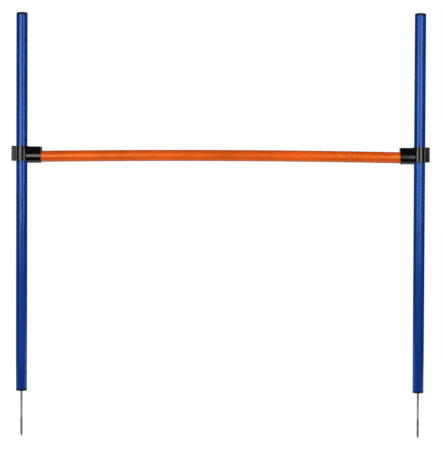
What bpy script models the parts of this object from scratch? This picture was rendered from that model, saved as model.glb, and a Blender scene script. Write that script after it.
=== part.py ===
"""Dog agility hurdle: two posts pushed into the ground, two clips that slide on them, and a crossbar.

Metres, +Z up. The origin is at ground level, midway between the posts. X runs along the crossbar and -Y
faces whoever looks at the front. Each post is a tube with a cap in its top, a plug in its foot and a steel
spike below the plug. Each clip is one moulding with two open channels at right angles: a snap-on grip round
the post, and a cradle from which the crossbar lifts straight up.
"""

import math

import bmesh
import bpy
from mathutils import Matrix

OBJECT_NAME = "agility_hurdle"

# Posts
POST_SPACING = 1.205
POST_HEIGHT = 1.150
POST_DIAMETER = 0.034
POST_WALL = 0.0020

# Crossbar, whose tube has taken a slight upward set over the years
CROSSBAR_DIAMETER = 0.034
CROSSBAR_WALL = 0.0018
CROSSBAR_HEIGHT = 0.7125
CROSSBAR_BOW = 0.0050
CROSSBAR_STATIONS = 13
CROSSBAR_ROUNDNESS = 16

# End caps, one moulding used in the posts and in the crossbar
CAP_HEAD_HEIGHT = 0.0062
CAP_EDGE_RADIUS = 0.0030
CAP_SPIGOT_LENGTH = 0.022
CAP_SPIGOT_WALL = 0.0018

# Lead-in, the cone at the end of every spigot that helps it into the tube
LEAD_IN_LENGTH = 0.0012
LEAD_IN_DEPTH = 0.0006

# Foot plugs and spikes
PLUG_FLANGE_HEIGHT = 0.0048
PLUG_EDGE_RADIUS = 0.0026
PLUG_SPIGOT_LENGTH = 0.060
PLUG_ROOF = 0.008
SPIKE_DIAMETER = 0.0070
SPIKE_REACH = 0.138
SPIKE_POINT_LENGTH = 0.020
SPIKE_POINT_RADIUS = 0.0006
SPIKE_CHAMFER = 0.000875

# Grip, the channel of a clip that snaps round the post
GRIP_WALL = 0.0025
GRIP_TOP = 0.0319
GRIP_BOTTOM = -0.0136
GRIP_MOUTH_HALF_ANGLE = math.radians(58)
GRIP_NECK_RADIUS = 0.0070
GRIP_LIP_FLARE = math.radians(20)
GRIP_LIP_REACH = 0.0119

# Cradle, the channel of a clip that the crossbar lies in
CRADLE_WALL = 0.0025
CRADLE_LENGTH = 0.0401
CRADLE_SIDE_RISE = 0.0055
CRADLE_BEND_RADIUS = 0.0120
CRADLE_LIP_FLARE = math.radians(13)
CRADLE_LIP_REACH = 0.0133

# Web, the solid that joins the two channels and stops the end of the crossbar
WEB_THICKNESS = 0.0036
WEB_BURIED = 0.0028
WEB_TOP_SETBACK = 0.0030

# Clearances
PUSH_FIT_GAP = 0.0003
SEAT_GAP = 0.0003
SLIDE_GAP = 0.0003
CRADLE_GAP = 0.0003
CROSSBAR_END_GAP = 0.0008

# Finish of the mesh
ROUND_STEPS = 48
SPIKE_STEPS = 20
EDGE_STEPS = 3
ARC_STEP = math.radians(9)
LEAST_ARC_STEPS = 2
RIM_BEVEL = 0.0007
RIM_SEGMENTS = 2
RIM_ANGLE = math.radians(50)
SHARP_ANGLE = math.radians(35)
CUTTER_OVERRUN = 0.010
MERGE_DISTANCE = 0.00001

# Sizes that follow from those above
POST_RADIUS = POST_DIAMETER / 2
CROSSBAR_RADIUS = CROSSBAR_DIAMETER / 2
GRIP_MID_RADIUS = POST_RADIUS + SLIDE_GAP + GRIP_WALL / 2
CRADLE_MID_RADIUS = CROSSBAR_RADIUS + CRADLE_GAP + CRADLE_WALL / 2
WEB_FACE = POST_RADIUS + SLIDE_GAP + WEB_THICKNESS
CRADLE_START = WEB_FACE - WEB_THICKNESS - WEB_BURIED
CRADLE_END = WEB_FACE + CRADLE_LENGTH
CRADLE_TOP = CROSSBAR_RADIUS + CRADLE_LIP_REACH
POST_ROOM_DEPTH = 2 * (max(CRADLE_TOP, CRADLE_MID_RADIUS) + CRADLE_WALL + CUTTER_OVERRUN)
CROSSBAR_CAP_REACH = POST_SPACING / 2 - WEB_FACE - CROSSBAR_END_GAP
CROSSBAR_HALF_LENGTH = CROSSBAR_CAP_REACH - CAP_HEAD_HEIGHT - SEAT_GAP


def clear_scene():
    for obj in list(bpy.data.objects):
        bpy.data.objects.remove(obj, do_unlink=True)


def new_collection(name):
    collection = bpy.data.collections.new(name)
    bpy.context.scene.collection.children.link(collection)
    return collection


def plastic(name, colour, roughness):
    material = bpy.data.materials.new(name)
    material.use_nodes = True
    shader = material.node_tree.nodes["Principled BSDF"]
    shader.inputs["Base Color"].default_value = (*colour, 1.0)
    shader.inputs["Roughness"].default_value = roughness
    shader.inputs["Metallic"].default_value = 0.0
    return material


def steel(name, colour, roughness):
    material = plastic(name, colour, roughness)
    material.node_tree.nodes["Principled BSDF"].inputs["Metallic"].default_value = 1.0
    return material


def add_modifier(obj, name, kind, **settings):
    modifier = obj.modifiers.new(name, kind)
    for setting, value in settings.items():
        setattr(modifier, setting, value)
    return modifier


def smooth_round_faces(mesh):
    mesh.shade_smooth()
    mesh.set_sharp_from_angle(angle=SHARP_ANGLE)


def turned(name, profile, steps, collection):
    """A turned piece from a profile of (radius, height), run from the top down its outer side."""
    mesh = bpy.data.meshes.new(name)
    mesh.from_pydata([(radius, 0.0, height) for radius, height in profile],
                     [(i, i + 1) for i in range(len(profile) - 1)], [])
    obj = bpy.data.objects.new(name, mesh)
    collection.objects.link(obj)
    add_modifier(obj, "turn", "SCREW", steps=steps, render_steps=steps, use_merge_vertices=True,
                 merge_threshold=MERGE_DISTANCE, use_smooth_shade=True)
    return obj


def edge_round(centre_radius, centre_height, radius, start, end):
    """Points of an arc in a turned profile, from the start angle to the end angle."""
    points = []
    for i in range(EDGE_STEPS + 1):
        angle = start + (end - start) * i / EDGE_STEPS
        points.append((centre_radius + radius * math.cos(angle), centre_height + radius * math.sin(angle)))
    return points


def evaluated_mesh(obj):
    graph = bpy.context.evaluated_depsgraph_get()
    return bpy.data.meshes.new_from_object(obj.evaluated_get(graph))


def make_mesh_object(obj):
    """Replaces a curve, or a mesh with modifiers, by a plain mesh object with its caps welded."""
    mesh = evaluated_mesh(obj)
    shape = bmesh.new()
    shape.from_mesh(mesh)
    bmesh.ops.remove_doubles(shape, verts=shape.verts, dist=MERGE_DISTANCE)
    bmesh.ops.recalc_face_normals(shape, faces=shape.faces)
    shape.to_mesh(mesh)
    shape.free()
    name = obj.name
    collection = obj.users_collection[0]
    matrix = obj.matrix_world.copy()
    bpy.data.objects.remove(obj, do_unlink=True)
    whole = bpy.data.objects.new(name, mesh)
    whole.matrix_world = matrix
    collection.objects.link(whole)
    return whole


def arc_points(centre, radius, start, end):
    """Points of an arc in a channel's section, ends included."""
    count = max(LEAST_ARC_STEPS, math.ceil(abs(end - start) / ARC_STEP))
    points = []
    for i in range(count + 1):
        angle = start + (end - start) * i / count
        points.append((centre[0] + radius * math.cos(angle), centre[1] + radius * math.sin(angle)))
    return points


def half_grip():
    """The middle of the grip's wall, from its back to one lip, with the mouth towards +X."""
    back = arc_points((0.0, 0.0), GRIP_MID_RADIUS, math.pi, GRIP_MOUTH_HALF_ANGLE)
    # The neck curves the other way, so its centre lies on the same ray, outside the wall.
    reach = GRIP_MID_RADIUS + GRIP_NECK_RADIUS
    neck_centre = (reach * math.cos(GRIP_MOUTH_HALF_ANGLE), reach * math.sin(GRIP_MOUTH_HALF_ANGLE))
    neck = arc_points(neck_centre, GRIP_NECK_RADIUS, math.pi + GRIP_MOUTH_HALF_ANGLE,
                      1.5 * math.pi + GRIP_LIP_FLARE)
    lip_start = neck[-1]
    run = POST_RADIUS + GRIP_LIP_REACH - lip_start[0]
    lip_end = (lip_start[0] + run, lip_start[1] + run * math.tan(GRIP_LIP_FLARE))
    return back + neck[1:] + [lip_end]


def half_cradle(setback=0.0):
    """The middle of the cradle's wall, from its floor up one side to the lip, with the mouth towards +X."""
    floor = arc_points((0.0, 0.0), CRADLE_MID_RADIUS, math.pi, math.pi / 2)
    bend_centre = (CRADLE_SIDE_RISE, CRADLE_MID_RADIUS + CRADLE_BEND_RADIUS)
    bend = arc_points(bend_centre, CRADLE_BEND_RADIUS, 1.5 * math.pi, 1.5 * math.pi + CRADLE_LIP_FLARE)
    lip_start = bend[-1]
    run = CRADLE_TOP - setback - lip_start[0]
    lip_end = (lip_start[0] + run, lip_start[1] + run * math.tan(CRADLE_LIP_FLARE))
    return floor + bend + [lip_end]


def whole_section(half):
    """Both halves of a channel's section, from lip to lip."""
    mirrored = [(x, -y) for x, y in reversed(half)]
    return mirrored + half[1:]


def channel(name, section, length, wall, collection):
    """An open channel along its own Z: a ribbon along the section, given its wall and rounded rims."""
    shape = bmesh.new()
    lower = [shape.verts.new((x, y, 0.0)) for x, y in section]
    upper = [shape.verts.new((x, y, length)) for x, y in section]
    for i in range(len(section) - 1):
        shape.faces.new((lower[i], lower[i + 1], upper[i + 1], upper[i]))
    mesh = bpy.data.meshes.new(name)
    shape.to_mesh(mesh)
    shape.free()
    obj = bpy.data.objects.new(name, mesh)
    collection.objects.link(obj)
    add_modifier(obj, "wall", "SOLIDIFY", thickness=wall, offset=0.0, use_even_offset=True)
    add_modifier(obj, "rims", "BEVEL", width=RIM_BEVEL, segments=RIM_SEGMENTS, limit_method="ANGLE",
                 angle_limit=RIM_ANGLE)
    return make_mesh_object(obj)


def flat_plate(name, outline, thickness, collection):
    """A flat outline in its own XY plane, given its thickness along Z."""
    curve = bpy.data.curves.new(name, "CURVE")
    curve.dimensions = "2D"
    curve.fill_mode = "BOTH"
    curve.extrude = thickness / 2
    spline = curve.splines.new("POLY")
    spline.points.add(len(outline) - 1)
    for point, (x, y) in zip(spline.points, outline):
        point.co = (x, y, 0.0, 1.0)
    spline.use_cyclic_u = True
    obj = bpy.data.objects.new(name, curve)
    collection.objects.link(obj)
    return make_mesh_object(obj)


def hide_as_cutter(obj):
    obj.hide_render = True
    obj.display_type = "WIRE"


def make_clip(name, side, parts, cutters):
    """One clip, at the height of the crossbar. Side is -1 on the left post and 1 on the right one."""
    # Built with the post on Z, the mouth of the grip towards -X and the cradle towards +X.
    turn_mouth = Matrix.Rotation(math.pi, 4, "Z")
    grip = channel(name, whole_section(half_grip()), GRIP_TOP - GRIP_BOTTOM, GRIP_WALL, parts)
    grip.data.transform(Matrix.Translation((0.0, 0.0, GRIP_BOTTOM)) @ turn_mouth)

    # The channel's own Z turns to +X and its mouth to +Z.
    lay_down = Matrix(((0, 0, 1, 0), (0, 1, 0, 0), (1, 0, 0, 0), (0, 0, 0, 1)))
    cradle = channel(name + "_cradle", whole_section(half_cradle()), CRADLE_END - CRADLE_START, CRADLE_WALL,
                     cutters)
    cradle.data.transform(Matrix.Translation((CRADLE_START, 0.0, 0.0)) @ lay_down)
    cradle.data.flip_normals()

    web_depth = WEB_FACE - CRADLE_START - RIM_BEVEL
    web = flat_plate(name + "_web", whole_section(half_cradle(WEB_TOP_SETBACK)), web_depth, cutters)
    web.data.transform(Matrix.Translation((WEB_FACE - web_depth / 2, 0.0, 0.0)) @ lay_down)
    web.data.flip_normals()

    # The cradle and the web stop halfway into the grip's wall, clear of the post.
    bpy.ops.mesh.primitive_cylinder_add(vertices=ROUND_STEPS, radius=GRIP_MID_RADIUS, depth=POST_ROOM_DEPTH)
    post_room = bpy.context.object
    post_room.name = name + "_post_room"
    for collection in list(post_room.users_collection):
        collection.objects.unlink(post_room)
    cutters.objects.link(post_room)
    add_modifier(cradle, "add web", "BOOLEAN", operation="UNION", solver="EXACT", object=web)
    add_modifier(cradle, "clear of post", "BOOLEAN", operation="DIFFERENCE", solver="EXACT", object=post_room)
    add_modifier(grip, "add cradle", "BOOLEAN", operation="UNION", solver="EXACT", object=cradle)
    for piece in (cradle, web, post_room):
        hide_as_cutter(piece)

    clip = make_mesh_object(grip)
    for piece in (cradle, web, post_room):
        bpy.data.objects.remove(piece, do_unlink=True)
    smooth_round_faces(clip.data)
    if side > 0:
        clip.data.transform(turn_mouth)
    clip.location = (side * POST_SPACING / 2, 0.0, CROSSBAR_HEIGHT)
    return clip


def make_post(name, side, parts):
    """The post's tube, from the top of the plug's flange to the foot of the cap's head."""
    top = POST_HEIGHT - CAP_HEAD_HEIGHT - SEAT_GAP
    bottom = PLUG_FLANGE_HEIGHT + SEAT_GAP
    inner = POST_RADIUS - POST_WALL
    profile = [(inner, top), (POST_RADIUS, top), (POST_RADIUS, bottom), (inner, bottom), (inner, top)]
    post = turned(name, profile, ROUND_STEPS, parts)
    post.location = (side * POST_SPACING / 2, 0.0, 0.0)
    return post


def make_cap(name, tube_radius, tube_wall, parts):
    """A push-in cap: rounded head above its origin, hollow spigot below, where the tube's end is."""
    spigot = tube_radius - tube_wall - PUSH_FIT_GAP
    hollow = spigot - CAP_SPIGOT_WALL
    head = edge_round(tube_radius - CAP_EDGE_RADIUS, CAP_HEAD_HEIGHT - CAP_EDGE_RADIUS, CAP_EDGE_RADIUS,
                      math.pi / 2, 0.0)
    profile = [(0.0, CAP_HEAD_HEIGHT)] + head + [
        (tube_radius, 0.0),
        (spigot, 0.0),
        (spigot, LEAD_IN_LENGTH - CAP_SPIGOT_LENGTH),
        (spigot - LEAD_IN_DEPTH, -CAP_SPIGOT_LENGTH),
        (hollow, -CAP_SPIGOT_LENGTH),
        (hollow, 0.0),
        (0.0, 0.0),
    ]
    return turned(name, profile, ROUND_STEPS, parts)


def make_plug(name, side, parts):
    """The foot plug: a flange under the tube, a long spigot inside it and a blind hole for the spike."""
    spigot = POST_RADIUS - POST_WALL - PUSH_FIT_GAP
    hole = SPIKE_DIAMETER / 2 + PUSH_FIT_GAP
    top = PLUG_FLANGE_HEIGHT + PLUG_SPIGOT_LENGTH
    edge = edge_round(POST_RADIUS - PLUG_EDGE_RADIUS, PLUG_EDGE_RADIUS, PLUG_EDGE_RADIUS, 0.0, -math.pi / 2)
    profile = [
        (0.0, top),
        (spigot - LEAD_IN_DEPTH, top),
        (spigot, top - LEAD_IN_LENGTH),
        (spigot, PLUG_FLANGE_HEIGHT),
        (POST_RADIUS, PLUG_FLANGE_HEIGHT),
    ] + edge + [
        (hole, 0.0),
        (hole, top - PLUG_ROOF),
        (0.0, top - PLUG_ROOF),
    ]
    plug = turned(name, profile, ROUND_STEPS, parts)
    plug.location = (side * POST_SPACING / 2, 0.0, 0.0)
    return plug


def make_spike(name, side, parts):
    """A steel rod from the roof of the plug's hole down to a ground point."""
    radius = SPIKE_DIAMETER / 2
    top = PLUG_FLANGE_HEIGHT + PLUG_SPIGOT_LENGTH - PLUG_ROOF - SEAT_GAP
    profile = [
        (0.0, top),
        (radius - SPIKE_CHAMFER, top),
        (radius, top - SPIKE_CHAMFER),
        (radius, SPIKE_POINT_LENGTH - SPIKE_REACH),
        (SPIKE_POINT_RADIUS, SPIKE_POINT_RADIUS - SPIKE_REACH),
        (0.0, -SPIKE_REACH),
    ]
    spike = turned(name, profile, SPIKE_STEPS, parts)
    spike.location = (side * POST_SPACING / 2, 0.0, 0.0)
    return spike


def bow_at(x):
    """How far the bowed crossbar stands above the line between its ends."""
    return CROSSBAR_BOW * (1.0 - (x / CROSSBAR_HALF_LENGTH) ** 2)


def make_crossbar(name, parts):
    """The crossbar's tube: an open skin along the bow, given its wall inwards."""
    curve = bpy.data.curves.new(name, "CURVE")
    curve.dimensions = "3D"
    curve.bevel_depth = CROSSBAR_RADIUS
    curve.bevel_resolution = CROSSBAR_ROUNDNESS
    curve.use_fill_caps = False
    spline = curve.splines.new("POLY")
    spline.points.add(CROSSBAR_STATIONS - 1)
    for i, point in enumerate(spline.points):
        x = CROSSBAR_HALF_LENGTH * (2 * i / (CROSSBAR_STATIONS - 1) - 1)
        point.co = (x, 0.0, bow_at(x), 1.0)
    crossbar = bpy.data.objects.new(name, curve)
    parts.objects.link(crossbar)
    crossbar.location = (0.0, 0.0, CROSSBAR_HEIGHT)
    add_modifier(crossbar, "wall", "SOLIDIFY", thickness=CROSSBAR_WALL, offset=-1.0)
    return crossbar


def place_crossbar_cap(cap, side):
    """Sets a cap against the end of the bowed tube, square to it."""
    slope = 2 * CROSSBAR_BOW / CROSSBAR_HALF_LENGTH
    cap.rotation_euler = (0.0, side * (math.pi / 2 + math.atan(slope)), 0.0)
    seat = CROSSBAR_HALF_LENGTH + SEAT_GAP
    cap.location = (side * seat, 0.0, CROSSBAR_HEIGHT - SEAT_GAP * slope)


def build():
    clear_scene()
    parts = new_collection(OBJECT_NAME)
    cutters = new_collection("cutters")
    blue = plastic("blue_gloss_plastic", (0.006, 0.060, 0.300), 0.22)
    orange = plastic("orange_gloss_plastic", (0.80, 0.110, 0.012), 0.25)
    black = plastic("black_clip_plastic", (0.006, 0.006, 0.007), 0.20)
    navy = plastic("dark_cap_plastic", (0.008, 0.014, 0.032), 0.35)
    spike_steel = steel("spike_steel", (0.42, 0.42, 0.43), 0.35)

    for label, side in (("left", -1), ("right", 1)):
        post = make_post(label + "_post", side, parts)
        post.data.materials.append(blue)
        cap = make_cap(label + "_top_cap", POST_RADIUS, POST_WALL, parts)
        cap.location = (side * POST_SPACING / 2, 0.0, POST_HEIGHT - CAP_HEAD_HEIGHT)
        cap.data.materials.append(navy)
        plug = make_plug(label + "_bottom_plug", side, parts)
        plug.data.materials.append(navy)
        spike = make_spike(label + "_ground_spike", side, parts)
        spike.data.materials.append(spike_steel)
        clip = make_clip(label + "_clip", side, parts, cutters)
        clip.data.materials.append(black)
        end_cap = make_cap("crossbar_" + label + "_cap", CROSSBAR_RADIUS, CROSSBAR_WALL, parts)
        place_crossbar_cap(end_cap, side)
        end_cap.data.materials.append(navy)

    crossbar = make_crossbar("crossbar", parts)
    crossbar.data.materials.append(orange)


build()
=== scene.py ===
import math

import bmesh
import bpy
from mathutils import Matrix, Vector


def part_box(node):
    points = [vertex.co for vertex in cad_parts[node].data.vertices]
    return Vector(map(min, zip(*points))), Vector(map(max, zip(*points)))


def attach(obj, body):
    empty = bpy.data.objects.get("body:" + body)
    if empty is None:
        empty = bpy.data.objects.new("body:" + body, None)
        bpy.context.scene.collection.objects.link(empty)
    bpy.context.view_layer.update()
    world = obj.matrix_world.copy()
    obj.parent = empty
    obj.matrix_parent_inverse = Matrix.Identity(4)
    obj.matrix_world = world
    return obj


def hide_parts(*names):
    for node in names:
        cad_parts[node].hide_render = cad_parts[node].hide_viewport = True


# Looks of a dog agility hurdle: gloss blue posts, a gloss orange crossbar with a slight upward bow, black
# moulded clips, dark push-in caps and plugs, and steel spikes. Metres, +Z up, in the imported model's frame.

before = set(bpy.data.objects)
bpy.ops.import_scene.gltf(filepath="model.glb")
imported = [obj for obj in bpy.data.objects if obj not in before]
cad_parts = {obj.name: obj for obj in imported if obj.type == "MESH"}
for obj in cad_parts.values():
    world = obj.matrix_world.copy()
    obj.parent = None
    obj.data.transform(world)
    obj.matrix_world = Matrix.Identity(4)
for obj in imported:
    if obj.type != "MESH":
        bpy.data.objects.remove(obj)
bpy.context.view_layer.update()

# Places and sizes read from the frame. Both sides of the hurdle are alike, so the right one gives them.
post_low, post_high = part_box("right_post")
post_cap_low, post_cap_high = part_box("right_top_cap")
spike_low, spike_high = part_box("right_ground_spike")
bar_low, bar_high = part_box("crossbar")
plug_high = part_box("right_bottom_plug")[1]
bar_cap_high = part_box("crossbar_right_cap")[1]
clip_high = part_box("right_clip")[1]

POST_X = (post_low.x + post_high.x) / 2
POST_RADIUS = (post_high.y - post_low.y) / 2
POST_CAP_TOP = post_cap_high.z
BAR_RADIUS = (bar_high.y - bar_low.y) / 2
BAR_HEIGHT = bar_low.z + BAR_RADIUS
BAR_BOW = bar_high.z - bar_low.z - 2 * BAR_RADIUS
PLUG_TOP = plug_high.z
SPIKE_RADIUS = (spike_high.y - spike_low.y) / 2
SPIKE_BOTTOM = spike_low.z
SPIKE_TOP = spike_high.z

# Clearances and walls
SEAT_GAP = 0.0003
FIT_GAP = 0.0003
POST_WALL = 0.0020
BAR_WALL = 0.0018
TUBE_RIM = 0.0004

# Caps, plugs and spikes
CAP_HEAD = 0.0086
CAP_SPIGOT = POST_CAP_TOP - CAP_HEAD - post_cap_low.z
TUBE_TOP = POST_CAP_TOP - CAP_HEAD - SEAT_GAP
BAR_HALF_LENGTH = bar_cap_high.x - CAP_HEAD - SEAT_GAP
BAR_END_SLOPE = 2 * BAR_BOW / BAR_HALF_LENGTH
CAP_SPIGOT_WALL = 0.0018
CAP_EDGE = 0.0038
CAP_CROWN_ANGLE = math.radians(13)
LEAD_IN_LENGTH = 0.0012
LEAD_IN_DEPTH = 0.0006
SMALL_EDGE = 0.0003
PLUG_FLANGE = 0.0065
TUBE_BOTTOM = PLUG_FLANGE + SEAT_GAP
PLUG_EDGE = 0.0030
PLUG_HOLE_TOP = SPIKE_TOP + SEAT_GAP
SPIKE_POINT = 0.0070
SPIKE_TIP = 0.0017
SPIKE_TIP_ANGLE = math.radians(15)
SPIKE_CHAMFER = 0.0009

# Clips: the grip round the post, the cradle under the bar and the web between them
GRIP_WALL = 0.0039
CRADLE_WALL = 0.0025
CLIP_RIM = 0.0008
RIM_STEPS = 4
RIM_ANGLE = math.radians(50)
GRIP_TOP = clip_high.z - BAR_HEIGHT
GRIP_BOTTOM = -0.0136
GRIP_MOUTH_HALF_ANGLE = math.radians(55)
GRIP_NECK_RADIUS = 0.0050
GRIP_LIP_FLARE = math.radians(31)
GRIP_LIP_REACH = clip_high.x - POST_X - GRIP_WALL / 2 * math.sin(GRIP_LIP_FLARE)
GRIP_MIDDLE = POST_RADIUS + FIT_GAP + GRIP_WALL / 2
CRADLE_MIDDLE = BAR_RADIUS + FIT_GAP + CRADLE_WALL / 2
CRADLE_SIDE_RISE = 0.0055
CRADLE_BEND_RADIUS = 0.0120
CRADLE_LIP_FLARE = math.radians(13)
CRADLE_LIP_TOP = 0.0303
CRADLE_START = 0.0145
CRADLE_END = 0.0590
WEB_FACE = 0.0209
WEB_TOP_SETBACK = 0.0030
POST_ROOM_DEPTH = 0.12

# Fineness of the meshes
SIDES = 128
SPIKE_SIDES = 48
BAR_STATIONS = 49
ARC_STEP = math.radians(3)
LEAST_ARC_STEPS = 2
ROUND_STEPS = 6
CROWN_STEPS = 8
MERGE_DISTANCE = 0.00001
SHARP_ANGLE = math.radians(32)
FULL_WEAR_ANGLE = math.radians(20)

# Swaps X and Z, and turns Y round, so that a piece made along Z lies along X.
LAY_DOWN = Matrix.Rotation(math.pi, 4, Vector((1.0, 0.0, 1.0)))

# Colours
BLUE = (0.0028, 0.041, 0.285)
BLUE_SHINE = (0.30, 0.57, 1.0)
ORANGE = (0.83, 0.100, 0.007)
ORANGE_SHINE = (1.0, 0.80, 0.20)
BLACK = (0.001, 0.001, 0.0011)
RUBBED_BLACK = (0.02, 0.02, 0.02)
DARK_BLUE = (0.002, 0.012, 0.050)
RUBBED_DARK_BLUE = (0.02, 0.04, 0.09)
DARK_BLUE_SHINE = (0.34, 0.52, 0.80)
UPPER_STEEL_GREY = (0.31, 0.31, 0.315)
UPPER_BLOOM_GREY = (0.45, 0.45, 0.455)
# Darker greys for the lower part of the spike rod
LOWER_STEEL_GREY = (0.11, 0.109, 0.106)
LOWER_BLOOM_GREY = (0.18, 0.177, 0.171)
WHITE = (1.0, 1.0, 1.0)

# In the finishes below, a scale counts a pattern's waves in a metre, and a draw is the factor on it that
# makes long lines. A bump is a depth in metres, and a span is where a mask rises from nothing to all.

# Extruded tubes
TUBE_IOR = 1.5
TUBE_SPECULAR = 0.85
TUBE_DARKEST = 0.86
TUBE_PALEST = 1.10
SHADE_SCALE = 9.0
SHADE_SPAN = (0.3, 0.7)
DIE_LINE_SCALE = 900.0
DIE_LINE_DRAW = 0.006
SCRATCH_SCALE = 2600.0
SCRATCH_DRAW = 0.05
SCRATCH_SPAN = (0.66, 0.74)
SCUFFED_PLACE_SCALE = 28.0
SCUFFED_PLACE_SPAN = (0.45, 0.75)
WAVE_SCALE = 40.0
WAVE_DRAW = 0.3
BLUE_ROUGHNESS = 0.22
ORANGE_ROUGHNESS = 0.26
DIE_LINE_ROUGHNESS = 0.03
SHADE_ROUGHNESS = 0.02
SCUFF_ROUGHNESS = 0.22
DIE_LINE_RELIEF = 0.12
SCUFF_RELIEF = 0.10
TUBE_BUMP = 0.000006

# Mouldings
MOULDING_IOR = 1.46
FLOW_SCALE = 60.0
FLOW_DRAW = 0.35
SKIN_SCALE = 1800.0
HAIRLINE_SCALE = 1500.0
HAIRLINE_DRAW = 0.06
HAIRLINE_SPAN = (0.68, 0.76)
RUBBING_SCALE = 420.0
RUBBING_SPAN = (0.42, 0.62)
WEAR_TINT = 0.5
HAIRLINE_TINT = 0.15
CLIP_ROUGHNESS = 0.07
CAP_ROUGHNESS = 0.36
FLOW_ROUGHNESS = 0.05
WEAR_ROUGHNESS = 0.20
HAIRLINE_ROUGHNESS = 0.15
CLIP_GRAIN = 0.2
CAP_GRAIN = 0.8
MOULDING_BUMP = 0.00003

# Steel
ROD_LINE_SCALE = 3200.0
ROD_LINE_DRAW = 0.01
BLOOM_SCALE = 140.0
BLOOM_SPAN = (0.35, 0.7)
GRINDING_SCALE = 5200.0
GRINDING_DRAW = 0.02
GRINDING_FADE = 0.001
# The height below which the spike rod is painted darker, and the span over which it changes
DARKER_BELOW = -0.080
DARKER_BELOW_FADE = 0.012
STEEL_ROUGHNESS = 0.26
MARK_ROUGHNESS = 0.16
BLOOM_ROUGHNESS = 0.10
STEEL_BUMP = 0.00002


class Graph:
    """A node tree. One method makes any node, and short ones make those that are used often."""

    def __init__(self, tree):
        self.tree = tree

    def node(self, kind, settings=None, inputs=None, output=0):
        """Adds a node, sets it up, fills its sockets by name or place, and returns one of its outputs."""
        node = self.tree.nodes.new(kind)
        for name, value in (settings or {}).items():
            setattr(node, name, value)
        for key, value in (inputs or {}).items():
            self.fill(self.find(node.inputs, key), value)
        return Value(self, self.find(node.outputs, output)) if node.outputs else None

    def find(self, sockets, key):
        if isinstance(key, int):
            return sockets[key]
        return next(socket for socket in sockets if socket.name == key and socket.enabled)

    def fill(self, socket, value):
        if isinstance(value, Value):
            self.tree.links.new(value.socket, socket)
        else:
            socket.default_value = value

    def math(self, operation, *operands):
        return self.node("ShaderNodeMath", {"operation": operation}, dict(enumerate(operands)))

    def noise(self, place, scale, detail=2.0, roughness=0.5):
        return self.node("ShaderNodeTexNoise", {"noise_dimensions": "3D"},
                         {"Vector": place, "Scale": scale, "Detail": detail, "Roughness": roughness})

    def drawn_out(self, place, axes, draw):
        """A place for a pattern that is drawn out into lines along one or more axes."""
        factors = tuple(draw if axis in axes else 1.0 for axis in "XYZ")
        return self.node("ShaderNodeVectorMath", {"operation": "MULTIPLY"}, {0: place, 1: factors})

    def parts(self, vector):
        x = self.node("ShaderNodeSeparateXYZ", None, {0: vector})
        return x, x.neighbour("Y"), x.neighbour("Z")

    def vector(self, x, y, z):
        return self.node("ShaderNodeCombineXYZ", None, {0: x, 1: y, 2: z})

    def blend(self, factor, first, second):
        return self.node("ShaderNodeMix", {"data_type": "RGBA"}, {"Factor": factor, "A": first, "B": second},
                         "Result")

    def bump(self, height, distance):
        return self.node("ShaderNodeBump", None, {"Height": height, "Distance": distance})


class Value:
    """An output of a node. Arithmetic on it adds Math nodes."""

    def __init__(self, graph, socket):
        self.graph = graph
        self.socket = socket

    def __add__(self, other):
        return self.graph.math("ADD", self, other)

    def __radd__(self, other):
        return self.graph.math("ADD", other, self)

    def __sub__(self, other):
        return self.graph.math("SUBTRACT", self, other)

    def __rsub__(self, other):
        return self.graph.math("SUBTRACT", other, self)

    def __mul__(self, other):
        return self.graph.math("MULTIPLY", self, other)

    def __rmul__(self, other):
        return self.graph.math("MULTIPLY", other, self)

    def __truediv__(self, other):
        return self.graph.math("DIVIDE", self, other)

    def __gt__(self, other):
        return self.graph.math("GREATER_THAN", self, other)

    def neighbour(self, name):
        """Another output of the same node."""
        return Value(self.graph, self.graph.find(self.socket.node.outputs, name))

    def ramp(self, low, high):
        """Rises smoothly from 0 where this value is low to 1 where it is high."""
        return self.graph.node("ShaderNodeMapRange", {"interpolation_type": "SMOOTHSTEP"},
                               {"Value": self, "From Min": low, "From Max": high})


def opaque(colour, shade=1.0):
    """A colour made darker or paler by a factor, with its alpha."""
    return tuple(shade * part for part in colour) + (1.0,)


def new_material(name, **constants):
    """A material whose shader sockets hold the given constants, with its graph and its surface position."""
    material = bpy.data.materials.new(name)
    material.use_nodes = True
    shader = material.node_tree.nodes["Principled BSDF"]
    for socket, value in constants.items():
        shader.inputs[socket.replace("_", " ")].default_value = value
    graph = Graph(material.node_tree)
    place = graph.node("ShaderNodeTexCoord", None, None, "Object")
    return material, shader, graph, place


def extruded_plastic(name, colour, along, shine, roughness):
    """Gloss tube plastic: faint lines along the tube from the die, scuffs of fine scratches, a slow change of
    shade and a slightly wavy surface."""
    material, shader, graph, place = new_material(name, IOR=TUBE_IOR, Specular_IOR_Level=TUBE_SPECULAR,
                                                  Specular_Tint=opaque(shine))
    shade = graph.noise(place, SHADE_SCALE, detail=3.0)
    line_place = graph.drawn_out(place, along, DIE_LINE_DRAW)
    lines = graph.noise(line_place, DIE_LINE_SCALE, detail=3.0, roughness=0.6)
    scratch_place = graph.drawn_out(place, along, SCRATCH_DRAW)
    scratches = graph.noise(scratch_place, SCRATCH_SCALE, detail=1.0).ramp(*SCRATCH_SPAN)
    scuffs = scratches * graph.noise(place, SCUFFED_PLACE_SCALE).ramp(*SCUFFED_PLACE_SPAN)
    waves = graph.noise(graph.drawn_out(place, along, WAVE_DRAW), WAVE_SCALE, detail=1.0)
    tint = graph.blend(shade.ramp(*SHADE_SPAN), opaque(colour, TUBE_DARKEST), opaque(colour, TUBE_PALEST))
    graph.fill(shader.inputs["Base Color"], tint)
    graph.fill(shader.inputs["Roughness"], roughness + DIE_LINE_ROUGHNESS * lines + SHADE_ROUGHNESS * shade
               + SCUFF_ROUGHNESS * scuffs)
    height = waves + DIE_LINE_RELIEF * lines - SCUFF_RELIEF * scuffs
    graph.fill(shader.inputs["Normal"], graph.bump(height, TUBE_BUMP))
    return material


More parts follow.
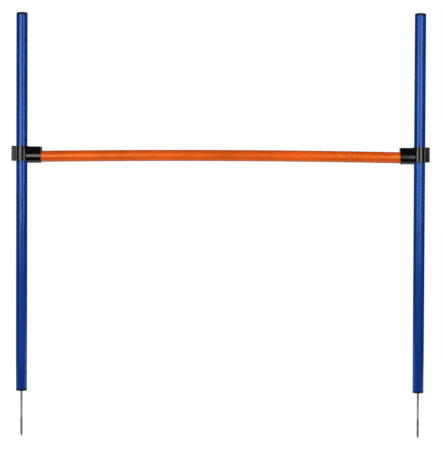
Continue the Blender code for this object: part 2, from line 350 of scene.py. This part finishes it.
def moulded_plastic(name, colour, rubbed_colour, shine, roughness, grain):
    """Injection-moulded plastic: a fine skin, flow marks, hairline scratches and slightly rubbed edges."""
    material, shader, graph, place = new_material(name, IOR=MOULDING_IOR, Specular_Tint=opaque(shine))
    flow = graph.noise(graph.drawn_out(place, "Z", FLOW_DRAW), FLOW_SCALE, detail=3.0, roughness=0.55)
    skin = graph.noise(place, SKIN_SCALE)
    hairline_place = graph.drawn_out(place, "Z", HAIRLINE_DRAW)
    hairlines = graph.noise(hairline_place, HAIRLINE_SCALE, detail=1.0).ramp(*HAIRLINE_SPAN)
    edges = graph.node("ShaderNodeAttribute", {"attribute_name": "edge"}, None, "Fac")
    wear = edges * graph.noise(place, RUBBING_SCALE, detail=3.0, roughness=0.7).ramp(*RUBBING_SPAN)
    tint = graph.blend(WEAR_TINT * wear + HAIRLINE_TINT * hairlines, opaque(colour), opaque(rubbed_colour))
    graph.fill(shader.inputs["Base Color"], tint)
    graph.fill(shader.inputs["Roughness"], roughness + FLOW_ROUGHNESS * flow + WEAR_ROUGHNESS * wear
               + HAIRLINE_ROUGHNESS * hairlines)
    graph.fill(shader.inputs["Normal"], graph.bump(flow + grain * skin, MOULDING_BUMP))
    return material


def drawn_steel():
    """Drawn rod: fine lines along it, a pale bloom, and grinding marks round the point. Its lower part is
    painted darker.
    """
    material, shader, graph, place = new_material("spike_steel_finish", Metallic=1.0)
    height = graph.parts(place)[2]
    lines = graph.noise(graph.drawn_out(place, "Z", ROD_LINE_DRAW), ROD_LINE_SCALE, roughness=0.6)
    rings = graph.noise(graph.drawn_out(place, "XY", GRINDING_DRAW), GRINDING_SCALE)
    point_top = SPIKE_BOTTOM + SPIKE_POINT
    on_point = 1.0 - height.ramp(point_top - GRINDING_FADE, point_top + GRINDING_FADE)
    marks = lines + on_point * (rings - lines)
    bloom = graph.noise(place, BLOOM_SCALE, detail=3.0, roughness=0.6)
    bloomed = bloom.ramp(*BLOOM_SPAN)
    upper_tone = graph.blend(bloomed, opaque(UPPER_STEEL_GREY), opaque(UPPER_BLOOM_GREY))
    lower_tone = graph.blend(bloomed, opaque(LOWER_STEEL_GREY), opaque(LOWER_BLOOM_GREY))
    # Below a line near the point, the rod is painted a darker grey.
    below_line = 1.0 - height.ramp(DARKER_BELOW - DARKER_BELOW_FADE, DARKER_BELOW + DARKER_BELOW_FADE)
    graph.fill(shader.inputs["Base Color"], graph.blend(below_line, upper_tone, lower_tone))
    graph.fill(shader.inputs["Roughness"], STEEL_ROUGHNESS + MARK_ROUGHNESS * marks + BLOOM_ROUGHNESS * bloom)
    graph.fill(shader.inputs["Normal"], graph.bump(marks, STEEL_BUMP))
    return material


def turned_tree():
    """Turns a profile round Z. The profile's points lie at (radius, 0, height), from first to last."""
    tree = bpy.data.node_groups.new("turned piece", "GeometryNodeTree")
    for name, kind in (("Profile", "Geometry"), ("Sides", "Int"), ("Bow", "Float"), ("Half Length", "Float"),
                       ("Finish", "Material")):
        tree.interface.new_socket(name=name, in_out="INPUT", socket_type="NodeSocket" + kind)
    tree.interface.new_socket(name="Piece", in_out="OUTPUT", socket_type="NodeSocketGeometry")
    graph = Graph(tree)
    profile = graph.node("NodeGroupInput", None, None, "Profile")

    # A flat sheet, with a column for each point of the profile and one row more than the sides.
    count = graph.node("GeometryNodeAttributeDomainSize", {"component": "MESH"}, {0: profile}, "Point Count")
    span = count - 1
    sheet = graph.node("GeometryNodeMeshGrid", None,
                       {"Size X": span, "Size Y": math.tau, "Vertices X": count,
                        "Vertices Y": profile.neighbour("Sides") + 1})
    position = graph.node("GeometryNodeInputPosition")
    across, turn, _ = graph.parts(position)
    step = graph.math("ROUND", across + span / 2.0)
    point = graph.node("GeometryNodeSampleIndex", {"data_type": "FLOAT_VECTOR", "domain": "POINT"},
                       {"Geometry": profile, "Value": position, "Index": step})
    radius, _, height = graph.parts(point)

    # The bow is a parabola that is zero at both ends.
    share = height / profile.neighbour("Half Length")
    offset = profile.neighbour("Bow") * (1.0 - share * share)
    x = radius * graph.math("COSINE", turn) + offset
    y = radius * graph.math("SINE", turn)
    turned = graph.node("GeometryNodeSetPosition", None,
                        {"Geometry": sheet, "Position": graph.vector(x, y, height)})
    closed = graph.node("GeometryNodeMergeByDistance", None, {"Geometry": turned, "Distance": MERGE_DISTANCE})
    smooth = graph.node("GeometryNodeSetShadeSmooth", {"domain": "FACE"}, {"Geometry": closed})
    angle = graph.node("GeometryNodeInputMeshEdgeAngle", None, None, "Unsigned Angle")
    creased = graph.node("GeometryNodeSetShadeSmooth", {"domain": "EDGE"},
                         {"Geometry": smooth, "Selection": angle > SHARP_ANGLE, "Shade Smooth": False})
    real = graph.node("GeometryNodeRealizeInstances", None, {"Geometry": creased})
    finished = graph.node("GeometryNodeSetMaterial", None,
                          {"Geometry": real, "Material": profile.neighbour("Finish")})
    graph.node("NodeGroupOutput", None, {"Piece": finished})
    return tree


def new_object(name, mesh):
    obj = bpy.data.objects.new(name, mesh)
    bpy.context.scene.collection.objects.link(obj)
    return obj


def new_mesh(name, shape):
    """The mesh of a bmesh, which is freed."""
    mesh = bpy.data.meshes.new(name)
    shape.to_mesh(mesh)
    shape.free()
    return mesh


def settled(obj, name):
    """A plain mesh object in place of one with modifiers."""
    depsgraph = bpy.context.evaluated_depsgraph_get()
    mesh = bpy.data.meshes.new_from_object(obj.evaluated_get(depsgraph))
    bpy.data.objects.remove(obj, do_unlink=True)
    mesh.name = name
    return new_object(name, mesh)


def turned_piece(name, profile, finish, place, sides=SIDES, bow=0.0, half_length=1.0):
    """Runs the turning tree on a profile of (radius, height), and puts the result in its place. The half
    length matters only to a bowed piece."""
    mesh = bpy.data.meshes.new(name)
    mesh.from_pydata([(radius, 0.0, height) for radius, height in profile],
                     [(i, i + 1) for i in range(len(profile) - 1)], [])
    blank = new_object(name + "_profile", mesh)
    modifier = blank.modifiers.new("turn", "NODES")
    modifier.node_group = TURNED_TREE
    values = {"Sides": sides, "Bow": bow, "Half Length": half_length, "Finish": finish}
    for item in TURNED_TREE.interface.items_tree:
        if item.in_out == "INPUT" and item.name in values:
            modifier[item.identifier] = values[item.name]
    piece = settled(blank, name)
    piece.data.transform(place)
    return piece


def quarter_round(radius, height, round_radius, start, end):
    """Points of an arc in a profile, about a centre at the given radius and height."""
    points = []
    for i in range(ROUND_STEPS + 1):
        angle = start + (end - start) * i / ROUND_STEPS
        points.append((radius + round_radius * math.cos(angle), height + round_radius * math.sin(angle)))
    return points


def tube_profile(outer, wall, bottom, top, stations=2):
    """The wall of a tube, from its upper rim down the outside, round the lower rim and up the inside."""
    inner = outer - wall
    rim = TUBE_RIM
    heights = [top - rim - (top - bottom - 2 * rim) * i / (stations - 1) for i in range(stations)]
    upper_out = quarter_round(outer - rim, top - rim, rim, math.pi / 2, 0.0)
    lower_out = quarter_round(outer - rim, bottom + rim, rim, 0.0, -math.pi / 2)
    lower_in = quarter_round(inner + rim, bottom + rim, rim, -math.pi / 2, -math.pi)
    upper_in = quarter_round(inner + rim, top - rim, rim, math.pi, math.pi / 2)
    outside = [(outer, height) for height in heights[1:-1]]
    inside = [(inner, height) for height in reversed(heights[1:-1])]
    return upper_out + outside + lower_out + lower_in + inside + upper_in + upper_out[:1]


def cap_head(tube_radius):
    """The outside of a cap's head: a shallow crown that runs smoothly into the rounded edge."""
    crown_radius = tube_radius - CAP_EDGE * (1.0 - math.sin(CAP_CROWN_ANGLE))
    crown_drop = crown_radius * math.tan(CAP_CROWN_ANGLE) / 2
    edge_height = CAP_HEAD - crown_drop - CAP_EDGE * math.cos(CAP_CROWN_ANGLE)
    shares = [i / CROWN_STEPS for i in range(CROWN_STEPS)]
    crown = [(crown_radius * share, CAP_HEAD - crown_drop * share ** 2) for share in shares]
    return crown + quarter_round(tube_radius - CAP_EDGE, edge_height, CAP_EDGE,
                                 math.pi / 2 - CAP_CROWN_ANGLE, 0.0)


def cap_profile(tube_radius, tube_wall):
    """A push-in cap: a crowned head over a hollow spigot."""
    spigot = tube_radius - tube_wall - FIT_GAP
    hollow = spigot - CAP_SPIGOT_WALL
    return cap_head(tube_radius) + [
        (tube_radius, SMALL_EDGE),
        (tube_radius - SMALL_EDGE, 0.0),
        (spigot, 0.0),
        (spigot, LEAD_IN_LENGTH - CAP_SPIGOT),
        (spigot - LEAD_IN_DEPTH, -CAP_SPIGOT),
        (hollow, -CAP_SPIGOT),
        (hollow, 0.0),
        (0.0, 0.0),
    ]


def plug_profile():
    """The foot plug: a spigot inside the tube, a rounded flange under it and a blind hole for the spike."""
    spigot = POST_RADIUS - POST_WALL - FIT_GAP
    hole = SPIKE_RADIUS + FIT_GAP
    return [
        (0.0, PLUG_TOP),
        (spigot - LEAD_IN_DEPTH, PLUG_TOP),
        (spigot, PLUG_TOP - LEAD_IN_LENGTH),
        (spigot, PLUG_FLANGE),
        (POST_RADIUS - SMALL_EDGE, PLUG_FLANGE),
        (POST_RADIUS, PLUG_FLANGE - SMALL_EDGE),
    ] + quarter_round(POST_RADIUS - PLUG_EDGE, PLUG_EDGE, PLUG_EDGE, 0.0, -math.pi / 2) + [
        (hole + SMALL_EDGE, 0.0),
        (hole, SMALL_EDGE),
        (hole, PLUG_HOLE_TOP),
        (0.0, PLUG_HOLE_TOP),
    ]


def spike_profile():
    """The rod, from its top in the plug down to a rounded ground point."""
    return [
        (0.0, SPIKE_TOP),
        (SPIKE_RADIUS - SPIKE_CHAMFER, SPIKE_TOP),
        (SPIKE_RADIUS, SPIKE_TOP - SPIKE_CHAMFER),
        (SPIKE_RADIUS, SPIKE_BOTTOM + SPIKE_POINT),
    ] + quarter_round(0.0, SPIKE_BOTTOM + SPIKE_TIP, SPIKE_TIP, -SPIKE_TIP_ANGLE, -math.pi / 2)


def arc_points(centre, radius, start, end):
    count = max(LEAST_ARC_STEPS, math.ceil(abs(end - start) / ARC_STEP))
    angles = [start + (end - start) * i / count for i in range(count + 1)]
    return [(centre[0] + radius * math.cos(angle), centre[1] + radius * math.sin(angle)) for angle in angles]


def half_grip():
    """The middle of the grip's wall, from its back to one lip, with the mouth towards +X."""
    back = arc_points((0.0, 0.0), GRIP_MIDDLE, math.pi, GRIP_MOUTH_HALF_ANGLE)
    reach = GRIP_MIDDLE + GRIP_NECK_RADIUS
    neck_centre = (reach * math.cos(GRIP_MOUTH_HALF_ANGLE), reach * math.sin(GRIP_MOUTH_HALF_ANGLE))
    neck = arc_points(neck_centre, GRIP_NECK_RADIUS, math.pi + GRIP_MOUTH_HALF_ANGLE,
                      1.5 * math.pi + GRIP_LIP_FLARE)
    lip_start = neck[-1]
    run = GRIP_LIP_REACH - lip_start[0]
    return back + neck[1:] + [(GRIP_LIP_REACH, lip_start[1] + run * math.tan(GRIP_LIP_FLARE))]


def half_cradle(setback=0.0):
    """The middle of the cradle's wall, from its floor up one side to the lip, with the mouth towards +X."""
    floor = arc_points((0.0, 0.0), CRADLE_MIDDLE, math.pi, math.pi / 2)
    bend_centre = (CRADLE_SIDE_RISE, CRADLE_MIDDLE + CRADLE_BEND_RADIUS)
    bend = arc_points(bend_centre, CRADLE_BEND_RADIUS, 1.5 * math.pi, 1.5 * math.pi + CRADLE_LIP_FLARE)
    lip_start = bend[-1]
    top = CRADLE_LIP_TOP - setback
    run = top - lip_start[0]
    return floor + bend + [(top, lip_start[1] + run * math.tan(CRADLE_LIP_FLARE))]


def whole_section(half):
    """Half a section and its mirror image, as one line from lip to lip."""
    return [(x, -y) for x, y in reversed(half)] + half[1:]


def channel(name, section, length, thickness):
    """An open channel with rounded rims: a ribbon along the section, given its wall. It runs along Z."""
    shape = bmesh.new()
    lower = [shape.verts.new((x, y, 0.0)) for x, y in section]
    upper = [shape.verts.new((x, y, length)) for x, y in section]
    for i in range(len(section) - 1):
        shape.faces.new((lower[i], lower[i + 1], upper[i + 1], upper[i]))
    ribbon = new_object(name, new_mesh(name, shape))
    wall = ribbon.modifiers.new("wall", "SOLIDIFY")
    wall.thickness = thickness
    wall.offset = 0.0
    wall.use_even_offset = True
    rims = ribbon.modifiers.new("rims", "BEVEL")
    rims.width = CLIP_RIM
    rims.segments = RIM_STEPS
    rims.limit_method = "ANGLE"
    rims.angle_limit = RIM_ANGLE
    return settled(ribbon, name)


def web_plate(name, section, start, end):
    """The flat wall at the end of the cradle, between two places along X."""
    shape = bmesh.new()
    face = shape.faces.new([shape.verts.new((x, y, 0.0)) for x, y in section])
    raised = bmesh.ops.extrude_face_region(shape, geom=[face])["geom"]
    tops = [part for part in raised if isinstance(part, bmesh.types.BMVert)]
    bmesh.ops.translate(shape, verts=tops, vec=(0.0, 0.0, end - start))
    bmesh.ops.recalc_face_normals(shape, faces=shape.faces)
    mesh = new_mesh(name, shape)
    mesh.transform(Matrix.Translation((start, 0.0, 0.0)) @ LAY_DOWN)
    return new_object(name, mesh)


def post_room(name):
    """The space within the middle of the grip's wall, where the cradle must not reach."""
    shape = bmesh.new()
    bmesh.ops.create_cone(shape, cap_ends=True, segments=SIDES, radius1=GRIP_MIDDLE, radius2=GRIP_MIDDLE,
                          depth=POST_ROOM_DEPTH)
    return new_object(name, new_mesh(name, shape))


def joined(base, other, operation):
    """The base after a Boolean with the other, which is used up."""
    modifier = base.modifiers.new(operation.lower(), "BOOLEAN")
    modifier.operation = operation
    modifier.solver = "EXACT"
    modifier.object = other
    result = settled(base, base.name)
    bpy.data.objects.remove(other, do_unlink=True)
    return result


def mark_edges(mesh):
    """Stores how strongly each point lies on an outer edge, for the wear in the material."""
    shape = bmesh.new()
    shape.from_mesh(mesh)
    levels = []
    for vert in shape.verts:
        sharpest = max(edge.calc_face_angle_signed(0.0) for edge in vert.link_edges)
        levels.append(min(1.0, max(0.0, sharpest) / FULL_WEAR_ANGLE))
    shape.free()
    attribute = mesh.attributes.new("edge", "FLOAT", "POINT")
    attribute.data.foreach_set("value", levels)


def clip(name, side, finish):
    """One clip: a snap grip with its mouth away from the bar, and a cradle with a closed end."""
    grip = channel(name, whole_section(half_grip()), GRIP_TOP - GRIP_BOTTOM, GRIP_WALL)
    grip.data.transform(Matrix.Translation((0.0, 0.0, GRIP_BOTTOM)) @ Matrix.Rotation(math.pi, 4, "Z"))
    cradle = channel(name + "_cradle", whole_section(half_cradle()), CRADLE_END - CRADLE_START, CRADLE_WALL)
    cradle.data.transform(Matrix.Translation((CRADLE_START, 0.0, 0.0)) @ LAY_DOWN)
    web_section = whole_section(half_cradle(WEB_TOP_SETBACK))
    web = web_plate(name + "_web", web_section, CRADLE_START + CLIP_RIM, WEB_FACE)
    cradle = joined(cradle, web, "UNION")
    cradle = joined(cradle, post_room(name + "_room"), "DIFFERENCE")
    piece = joined(grip, cradle, "UNION")
    piece.data.shade_smooth()
    piece.data.set_sharp_from_angle(angle=SHARP_ANGLE)
    turn = Matrix.Rotation(math.pi if side > 0 else 0.0, 4, "Z")
    piece.data.transform(Matrix.Translation((side * POST_X, 0.0, BAR_HEIGHT)) @ turn)
    mark_edges(piece.data)
    piece.data.materials.clear()
    piece.data.materials.append(finish)
    # Flat faces keep flat reflections right up to their rounded rims.
    weighted = piece.modifiers.new("flat faces", "WEIGHTED_NORMAL")
    weighted.mode = "FACE_AREA"
    weighted.keep_sharp = True
    return settled(piece, name)


def dress(piece, body, node):
    """Ties a finished piece to its body and the node that it stands for."""
    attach(piece, body)
    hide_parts(node)


def build_posts(blue, dark, steel):
    for label, side in (("left", -1), ("right", 1)):
        foot = Matrix.Translation((side * POST_X, 0.0, 0.0))
        head = Matrix.Translation((side * POST_X, 0.0, POST_CAP_TOP - CAP_HEAD))
        wall = tube_profile(POST_RADIUS, POST_WALL, TUBE_BOTTOM, TUBE_TOP)
        tube = turned_piece(label + "_post_tube", wall, blue, foot)
        dress(tube, "posts", label + "_post")
        cap = turned_piece(label + "_post_cap", cap_profile(POST_RADIUS, POST_WALL), dark, head)
        dress(cap, "posts", label + "_top_cap")
        plug = turned_piece(label + "_foot_plug", plug_profile(), dark, foot)
        dress(plug, "posts", label + "_bottom_plug")
        spike = turned_piece(label + "_spike_rod", spike_profile(), steel, foot, sides=SPIKE_SIDES)
        dress(spike, "posts", label + "_ground_spike")


def build_crossbar(orange, dark):
    lying = Matrix.Translation((0.0, 0.0, BAR_HEIGHT)) @ LAY_DOWN
    wall = tube_profile(BAR_RADIUS, BAR_WALL, -BAR_HALF_LENGTH, BAR_HALF_LENGTH, BAR_STATIONS)
    tube = turned_piece("crossbar_tube", wall, orange, lying, bow=BAR_BOW, half_length=BAR_HALF_LENGTH)
    dress(tube, "crossbar", "crossbar")
    for label, side in (("left", -1), ("right", 1)):
        seat = Vector((side * (BAR_HALF_LENGTH + SEAT_GAP), 0.0, BAR_HEIGHT - SEAT_GAP * BAR_END_SLOPE))
        tilt = Matrix.Rotation(side * (math.pi / 2 + math.atan(BAR_END_SLOPE)), 4, "Y")
        cap = turned_piece("crossbar_" + label + "_plug", cap_profile(BAR_RADIUS, BAR_WALL), dark,
                           Matrix.Translation(seat) @ tilt)
        dress(cap, "crossbar", "crossbar_" + label + "_cap")


def build_clips(black):
    for label, side in (("left", -1), ("right", 1)):
        dress(clip(label + "_moulded_clip", side, black), label + "_clip", label + "_clip")


# Studio floor
FLOOR_GAP = 0.0005
FLOOR_HEIGHT = SPIKE_BOTTOM - FLOOR_GAP
FLOOR_HALF_WIDTH = 1.5
FLOOR_FRONT = -0.25
FLOOR_BACK = 2.2
FLOOR_GREY = (0.5, 0.5, 0.5)
FLOOR_GLOW = 0.86

# Soft lights. Each stands between two places on the ground, from one height up to another.
BOX_BOTTOM = 0.36
BOX_TOP = 2.05
BOX_GLOW = 4.7
LEFT_BOX = ((-0.62, -2.64), (-2.90, -2.64))
RIGHT_BOX = ((0.74, -1.90), (1.92, -1.90))
FRONT_FILL = ((-1.5, -4.0), (1.5, -4.0))
FRONT_GLOW = 1.6
FOOT_FILL = ((-0.9, -1.3), (0.9, -1.3))
FOOT_FILL_BOTTOM = -0.1
FOOT_FILL_TOP = 0.25
FOOT_GLOW = 0.9
BACK_FILL = ((-1.4, 3.0), (1.4, 3.0))
BACK_GLOW = 2.6

# Surroundings. The paper's sides and top fade over these spans of the Y and the Z of the way to them.
PAPER_SIDE_SPAN = (0.90, 0.98)
PAPER_TOP_SPAN = (0.08, 0.22)
ROOM_LIGHT = 0.09


def ray_kinds(graph):
    """Whether a ray comes from the camera, and whether it comes off a mirror or through glass."""
    camera = graph.node("ShaderNodeLightPath", None, None, "Is Camera Ray")
    glossy = camera.neighbour("Is Glossy Ray")
    return camera, graph.math("MAXIMUM", glossy, camera.neighbour("Is Transmission Ray"))


def lay_floor():
    """A pale floor that looks white, and keeps the hurdle's shadow."""
    corners = [(-FLOOR_HALF_WIDTH, FLOOR_FRONT, FLOOR_HEIGHT), (FLOOR_HALF_WIDTH, FLOOR_FRONT, FLOOR_HEIGHT),
               (FLOOR_HALF_WIDTH, FLOOR_BACK, FLOOR_HEIGHT), (-FLOOR_HALF_WIDTH, FLOOR_BACK, FLOOR_HEIGHT)]
    mesh = bpy.data.meshes.new("studio_floor")
    mesh.from_pydata(corners, [], [(0, 1, 2, 3)])
    material = bpy.data.materials.new("pale_floor")
    material.use_nodes = True
    material.node_tree.nodes.clear()
    graph = Graph(material.node_tree)
    camera, mirrored = ray_kinds(graph)
    surface = graph.node("ShaderNodeBsdfDiffuse", None, {"Color": opaque(FLOOR_GREY)})
    strength = FLOOR_GLOW * graph.math("MAXIMUM", camera, mirrored)
    glow = graph.node("ShaderNodeEmission", None, {"Strength": strength})
    both = graph.node("ShaderNodeAddShader", None, {0: surface, 1: glow})
    graph.node("ShaderNodeOutputMaterial", None, {"Surface": both})
    mesh.materials.append(material)
    new_object("studio_floor", mesh)


def softbox(name, ends, bottom, top, glow):
    """A soft light that faces the hurdle, from the front or from behind."""
    (inner_x, y), (outer_x, _) = ends
    light = bpy.data.lights.new(name, "AREA")
    light.shape = "RECTANGLE"
    light.size = abs(outer_x - inner_x)
    light.size_y = top - bottom
    light.energy = glow * math.pi * light.size * light.size_y
    lamp = new_object(name, light)
    lamp.location = ((inner_x + outer_x) / 2, y, (top + bottom) / 2)
    lamp.rotation_euler = (math.copysign(math.pi / 2, -y), 0.0, 0.0)
    lamp.visible_camera = False
    return lamp


def light_studio():
    softbox("left_softbox", LEFT_BOX, BOX_BOTTOM, BOX_TOP, BOX_GLOW)
    softbox("right_softbox", RIGHT_BOX, BOX_BOTTOM, BOX_TOP, BOX_GLOW)
    # These only lift the shade in front, at the feet and behind, and aren't mirrored in the gloss.
    fills = [softbox("front_fill", FRONT_FILL, BOX_BOTTOM, BOX_TOP, FRONT_GLOW),
             softbox("foot_fill", FOOT_FILL, FOOT_FILL_BOTTOM, FOOT_FILL_TOP, FOOT_GLOW),
             softbox("back_fill", BACK_FILL, BOX_BOTTOM, BOX_TOP, BACK_GLOW)]
    for fill in fills:
        fill.visible_glossy = False


def surround_studio():
    """White all round for the camera, a dim room that lights the hurdle, and low white paper behind it, which
    the gloss mirrors."""
    world = bpy.data.worlds.new("studio")
    world.use_nodes = True
    bpy.context.scene.world = world
    world.node_tree.nodes.clear()
    graph = Graph(world.node_tree)
    direction = graph.node("ShaderNodeTexCoord", None, None, "Generated")
    _, y, z = graph.parts(direction)
    camera, mirrored = ray_kinds(graph)
    paper = y.ramp(*PAPER_SIDE_SPAN) * (1.0 - z.ramp(*PAPER_TOP_SPAN))
    shown = graph.math("MAXIMUM", camera, mirrored * paper)
    light = ROOM_LIGHT * (1.0 - camera) * (1.0 - mirrored)
    background = graph.node("ShaderNodeBackground", None, {"Color": opaque(WHITE), "Strength": shown + light})
    graph.node("ShaderNodeOutputWorld", None, {"Surface": background})


# Camera, fitted to the photograph's posts, bar and spikes. Its focal length is in pixels of the image.
CAMERA_PLACE = Vector((0.095, -5.502, 0.648))
CAMERA_YAW = math.radians(-0.928)
CAMERA_PITCH = math.radians(-1.45)
CAMERA_ROLL = math.radians(0.25)
FOCAL_PIXELS = 1815.4
IMAGE_WIDTH = 444
SENSOR_WIDTH = 36.0


def place_camera():
    data = bpy.data.cameras.new("camera")
    data.sensor_fit = "HORIZONTAL"
    data.sensor_width = SENSOR_WIDTH
    data.lens = FOCAL_PIXELS / IMAGE_WIDTH * SENSOR_WIDTH
    eye = new_object("camera", data)
    eye.matrix_world = (Matrix.Translation(CAMERA_PLACE) @ Matrix.Rotation(-CAMERA_YAW, 4, "Z")
                        @ Matrix.Rotation(math.pi / 2 + CAMERA_PITCH, 4, "X")
                        @ Matrix.Rotation(CAMERA_ROLL, 4, "Z"))
    bpy.context.scene.camera = eye


TURNED_TREE = turned_tree()

blue = extruded_plastic("blue_tube_finish", BLUE, "Z", BLUE_SHINE, BLUE_ROUGHNESS)
orange = extruded_plastic("orange_tube_finish", ORANGE, "X", ORANGE_SHINE, ORANGE_ROUGHNESS)
black = moulded_plastic("black_clip_finish", BLACK, RUBBED_BLACK, WHITE, CLIP_ROUGHNESS, CLIP_GRAIN)
dark = moulded_plastic("dark_cap_finish", DARK_BLUE, RUBBED_DARK_BLUE, DARK_BLUE_SHINE, CAP_ROUGHNESS,
                       CAP_GRAIN)
steel = drawn_steel()

build_posts(blue, dark, steel)
build_crossbar(orange, dark)
build_clips(black)
lay_floor()
light_studio()
surround_studio()
place_camera()
bpy.context.scene.view_settings.view_transform = "Standard"
